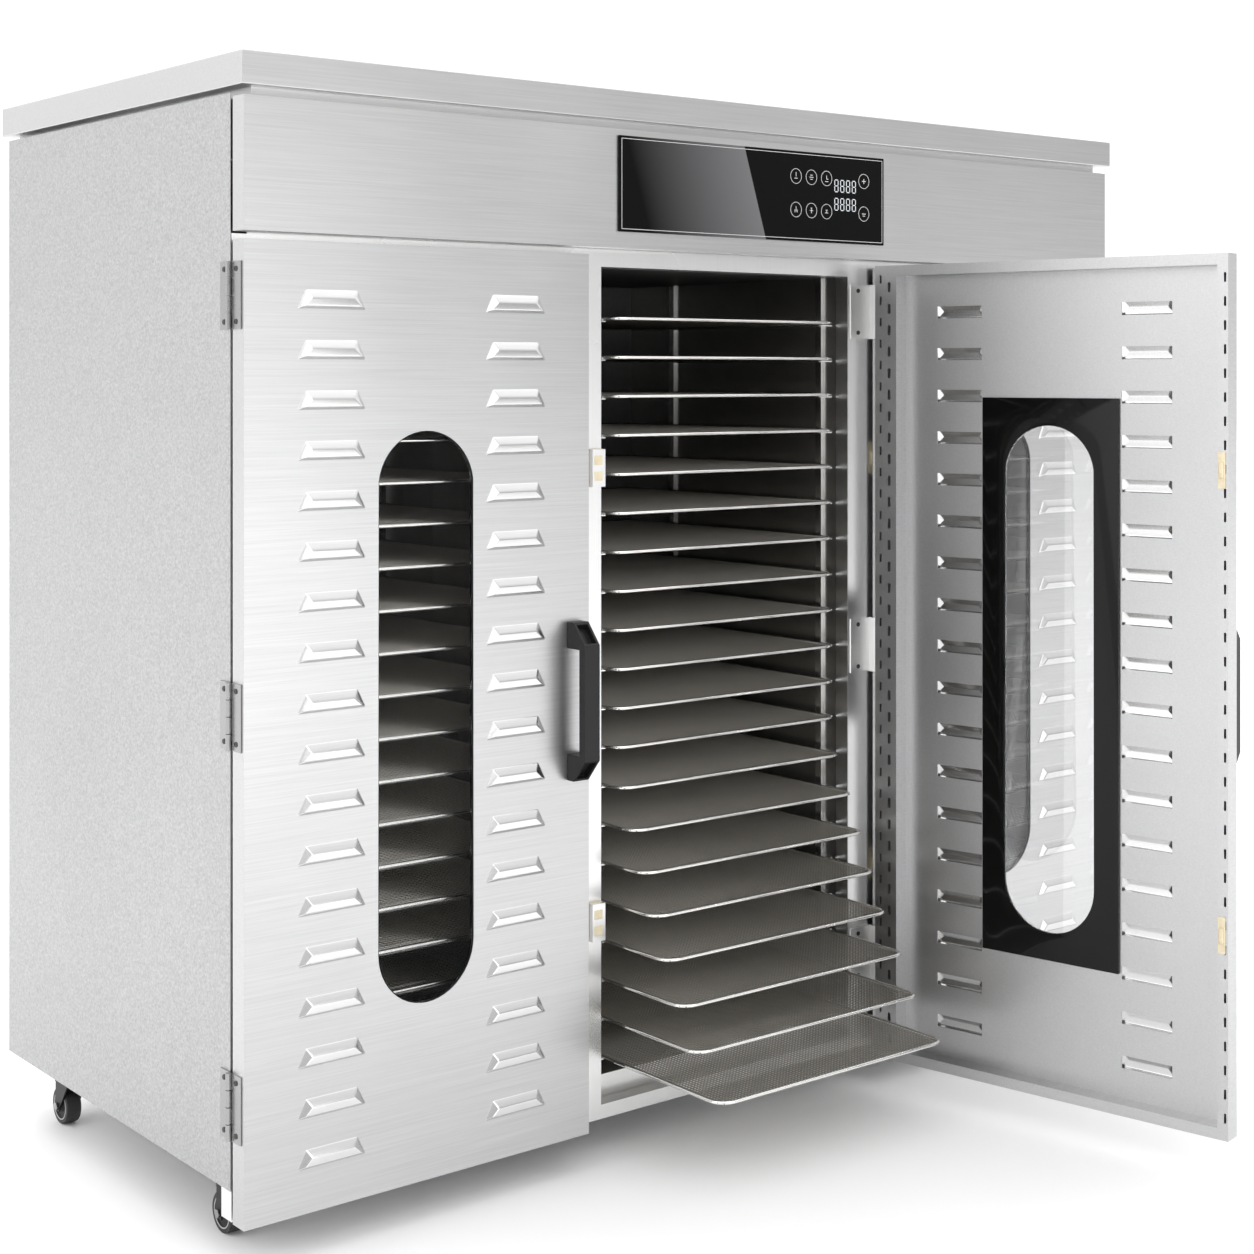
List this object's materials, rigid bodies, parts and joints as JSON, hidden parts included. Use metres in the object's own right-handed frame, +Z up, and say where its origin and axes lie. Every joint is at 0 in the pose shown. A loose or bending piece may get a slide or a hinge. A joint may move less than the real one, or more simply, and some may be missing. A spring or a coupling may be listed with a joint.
{
  "type": "three-bay food dehydrator",
  "caption": "Free-standing stainless food dehydrator on casters, with side-hinged louvered doors, window glass, sliding mesh trays, rear fans and a touch control strip.",
  "frame": {"origin": "bottom centre of the whole object's box, with the middle door open as at rest: centred on the cabinet's width, on the floor under the casters", "axes": "+X along the front to the right as seen by someone facing it, +Y from the front into the cabinet's depth, +Z up"},
  "size_m": [1.5774, 1.2438, 1.423],
  "materials": {
    "brushed_steel": "horizontally brushed stainless sheet",
    "embossed_steel": "finely speckled stainless sheet",
    "bright_steel": "bright stainless wire and bar",
    "dark_enamel": "matt black enamel",
    "black_plastic": "satin black plastic",
    "caster_rubber": "black rubber",
    "black_glass": "glossy black glass",
    "window_glass": "tinted clear glass",
    "circuit_green": "green circuit board"
  },
  "bodies": {
    "root": {"left_side_panel": "embossed_steel", "right_side_panel": "embossed_steel", "back_panel": "embossed_steel", "power_gland": "black_plastic", "base_pan": "brushed_steel", "top_cover": "brushed_steel", "front_fascia": "brushed_steel", "front_frame": "brushed_steel", "chamber_liner": "brushed_steel", "chamber_floor": "brushed_steel", "rear_air_baffle": "dark_enamel", "middle_rack_left": "bright_steel", "middle_rack_right": "bright_steel", "left_bay_rack": "bright_steel", "right_bay_rack": "bright_steel", "control_glass": "black_glass", "control_board": "circuit_green", "fan_motor_left": "dark_enamel", "fan_motor_middle": "dark_enamel", "fan_motor_right": "dark_enamel"},
    "left_door": {"left_door_shell": "brushed_steel", "left_door_glass": "window_glass", "left_door_handle": "black_plastic"},
    "middle_door": {"middle_door_shell": "brushed_steel", "middle_door_glass": "window_glass", "middle_door_handle": "black_plastic"},
    "right_door": {"right_door_shell": "brushed_steel", "right_door_glass": "window_glass", "right_door_handle": "black_plastic"},
    "tray_01_body": {"tray_01": "bright_steel"},
    "tray_02_body": {"tray_02": "bright_steel"},
    "tray_03_body": {"tray_03": "bright_steel"},
    "tray_04_body": {"tray_04": "bright_steel"},
    "tray_05_body": {"tray_05": "bright_steel"},
    "tray_06_body": {"tray_06": "bright_steel"},
    "tray_07_body": {"tray_07": "bright_steel"},
    "tray_08_body": {"tray_08": "bright_steel"},
    "tray_09_body": {"tray_09": "bright_steel"},
    "tray_10_body": {"tray_10": "bright_steel"},
    "tray_11_body": {"tray_11": "bright_steel"},
    "tray_12_body": {"tray_12": "bright_steel"},
    "tray_13_body": {"tray_13": "bright_steel"},
    "tray_14_body": {"tray_14": "bright_steel"},
    "tray_15_body": {"tray_15": "bright_steel"},
    "tray_16_body": {"tray_16": "bright_steel"},
    "tray_17_body": {"tray_17": "bright_steel"},
    "tray_18_body": {"tray_18": "bright_steel"},
    "tray_19_body": {"tray_19": "bright_steel"},
    "tray_20_body": {"tray_20": "bright_steel"},
    "caster_swivel_1": {"caster_fork_1": "black_plastic"},
    "caster_roller_1": {"caster_wheel_1": "caster_rubber"},
    "caster_swivel_2": {"caster_fork_2": "black_plastic"},
    "caster_roller_2": {"caster_wheel_2": "caster_rubber"},
    "caster_swivel_3": {"caster_fork_3": "black_plastic"},
    "caster_roller_3": {"caster_wheel_3": "caster_rubber"},
    "caster_swivel_4": {"caster_fork_4": "black_plastic"},
    "caster_roller_4": {"caster_wheel_4": "caster_rubber"},
    "left_fan": {"fan_impeller_left": "bright_steel"},
    "middle_fan": {"fan_impeller_middle": "bright_steel"},
    "right_fan": {"fan_impeller_right": "bright_steel"}
  },
  "joints": [
    {"name": "left_door_hinge", "type": "hinge", "parent": "root", "child": "left_door", "pos_m": [-0.785, -0.05114, 0.6], "axis": [0, 0, -1], "range_deg": [0, 175]},
    {"name": "middle_door_hinge", "type": "hinge", "parent": "root", "child": "middle_door", "pos_m": [0.2715, -0.08564, 0.6], "axis": [0, 0, 1], "range_deg": [-102, 14]},
    {"name": "right_door_hinge", "type": "hinge", "parent": "root", "child": "right_door", "pos_m": [0.785, -0.05114, 0.6], "axis": [0, 0, 1], "range_deg": [0, 175]},
    {"name": "tray_01_slide", "type": "slide", "parent": "root", "child": "tray_01_body", "axis": [0, -1, 0], "range_m": [0, 0.3]},
    {"name": "tray_02_slide", "type": "slide", "parent": "root", "child": "tray_02_body", "axis": [0, -1, 0], "range_m": [0, 0.3]},
    {"name": "tray_03_slide", "type": "slide", "parent": "root", "child": "tray_03_body", "axis": [0, -1, 0], "range_m": [0, 0.3]},
    {"name": "tray_04_slide", "type": "slide", "parent": "root", "child": "tray_04_body", "axis": [0, -1, 0], "range_m": [0, 0.3]},
    {"name": "tray_05_slide", "type": "slide", "parent": "root", "child": "tray_05_body", "axis": [0, -1, 0], "range_m": [0, 0.3]},
    {"name": "tray_06_slide", "type": "slide", "parent": "root", "child": "tray_06_body", "axis": [0, -1, 0], "range_m": [0, 0.3]},
    {"name": "tray_07_slide", "type": "slide", "parent": "root", "child": "tray_07_body", "axis": [0, -1, 0], "range_m": [0, 0.3]},
    {"name": "tray_08_slide", "type": "slide", "parent": "root", "child": "tray_08_body", "axis": [0, -1, 0], "range_m": [0, 0.3]},
    {"name": "tray_09_slide", "type": "slide", "parent": "root", "child": "tray_09_body", "axis": [0, -1, 0], "range_m": [0, 0.3]},
    {"name": "tray_10_slide", "type": "slide", "parent": "root", "child": "tray_10_body", "axis": [0, -1, 0], "range_m": [0, 0.3]},
    {"name": "tray_11_slide", "type": "slide", "parent": "root", "child": "tray_11_body", "axis": [0, -1, 0], "range_m": [0, 0.3]},
    {"name": "tray_12_slide", "type": "slide", "parent": "root", "child": "tray_12_body", "axis": [0, -1, 0], "range_m": [0, 0.3]},
    {"name": "tray_13_slide", "type": "slide", "parent": "root", "child": "tray_13_body", "axis": [0, -1, 0], "range_m": [-0.0125, 0.00215]},
    {"name": "tray_14_slide", "type": "slide", "parent": "root", "child": "tray_14_body", "axis": [0, -1, 0], "range_m": [-0.0385, 0.00572]},
    {"name": "tray_15_slide", "type": "slide", "parent": "root", "child": "tray_15_body", "axis": [0, -1, 0], "range_m": [-0.0605, 0.00874]},
    {"name": "tray_16_slide", "type": "slide", "parent": "root", "child": "tray_16_body", "axis": [0, -1, 0], "range_m": [-0.0835, 0.01189]},
    {"name": "tray_17_slide", "type": "slide", "parent": "root", "child": "tray_17_body", "axis": [0, -1, 0], "range_m": [-0.1085, 0.01532]},
    {"name": "tray_18_slide", "type": "slide", "parent": "root", "child": "tray_18_body", "axis": [0, -1, 0], "range_m": [-0.1405, 0.01972]},
    {"name": "tray_19_slide", "type": "slide", "parent": "root", "child": "tray_19_body", "axis": [0, -1, 0], "range_m": [-0.1685, 0.02356]},
    {"name": "tray_20_slide", "type": "slide", "parent": "root", "child": "tray_20_body", "axis": [0, -1, 0], "range_m": [-0.2155, 0.03001]},
    {"name": "caster_1_swivel", "type": "hinge", "parent": "root", "child": "caster_swivel_1", "pos_m": [-0.733, 0.03086, 0.08], "axis": [0, 0, 1], "continuous": true},
    {"name": "caster_1_roll", "type": "hinge", "parent": "caster_swivel_1", "child": "caster_roller_1", "pos_m": [-0.733, 0.04486, 0.025], "axis": [1, 0, 0], "continuous": true},
    {"name": "caster_2_swivel", "type": "hinge", "parent": "root", "child": "caster_swivel_2", "pos_m": [-0.733, 0.50886, 0.08], "axis": [0, 0, 1], "continuous": true},
    {"name": "caster_2_roll", "type": "hinge", "parent": "caster_swivel_2", "child": "caster_roller_2", "pos_m": [-0.733, 0.52286, 0.025], "axis": [1, 0, 0], "continuous": true},
    {"name": "caster_3_swivel", "type": "hinge", "parent": "root", "child": "caster_swivel_3", "pos_m": [0.733, 0.03086, 0.08], "axis": [0, 0, 1], "continuous": true},
    {"name": "caster_3_roll", "type": "hinge", "parent": "caster_swivel_3", "child": "caster_roller_3", "pos_m": [0.733, 0.04486, 0.025], "axis": [1, 0, 0], "continuous": true},
    {"name": "caster_4_swivel", "type": "hinge", "parent": "root", "child": "caster_swivel_4", "pos_m": [0.733, 0.50886, 0.08], "axis": [0, 0, 1], "continuous": true},
    {"name": "caster_4_roll", "type": "hinge", "parent": "caster_swivel_4", "child": "caster_roller_4", "pos_m": [0.733, 0.52286, 0.025], "axis": [1, 0, 0], "continuous": true},
    {"name": "left_fan_spin", "type": "hinge", "parent": "root", "child": "left_fan", "pos_m": [-0.5285, 0.49686, 0.64], "axis": [0, 1, 0], "continuous": true},
    {"name": "middle_fan_spin", "type": "hinge", "parent": "root", "child": "middle_fan", "pos_m": [0, 0.49686, 0.64], "axis": [0, 1, 0], "continuous": true},
    {"name": "right_fan_spin", "type": "hinge", "parent": "root", "child": "right_fan", "pos_m": [0.5285, 0.49686, 0.64], "axis": [0, 1, 0], "continuous": true}
  ],
  "couplings": [
    {"joint": "tray_13_slide", "follows": "middle_door_hinge", "m_per_rad": 0.006741},
    {"joint": "tray_14_slide", "follows": "middle_door_hinge", "m_per_rad": 0.021345},
    {"joint": "tray_15_slide", "follows": "middle_door_hinge", "m_per_rad": 0.033703},
    {"joint": "tray_16_slide", "follows": "middle_door_hinge", "m_per_rad": 0.046623},
    {"joint": "tray_17_slide", "follows": "middle_door_hinge", "m_per_rad": 0.060666},
    {"joint": "tray_18_slide", "follows": "middle_door_hinge", "m_per_rad": 0.078641},
    {"joint": "tray_19_slide", "follows": "middle_door_hinge", "m_per_rad": 0.09437},
    {"joint": "tray_20_slide", "follows": "middle_door_hinge", "m_per_rad": 0.12077}
  ]
}
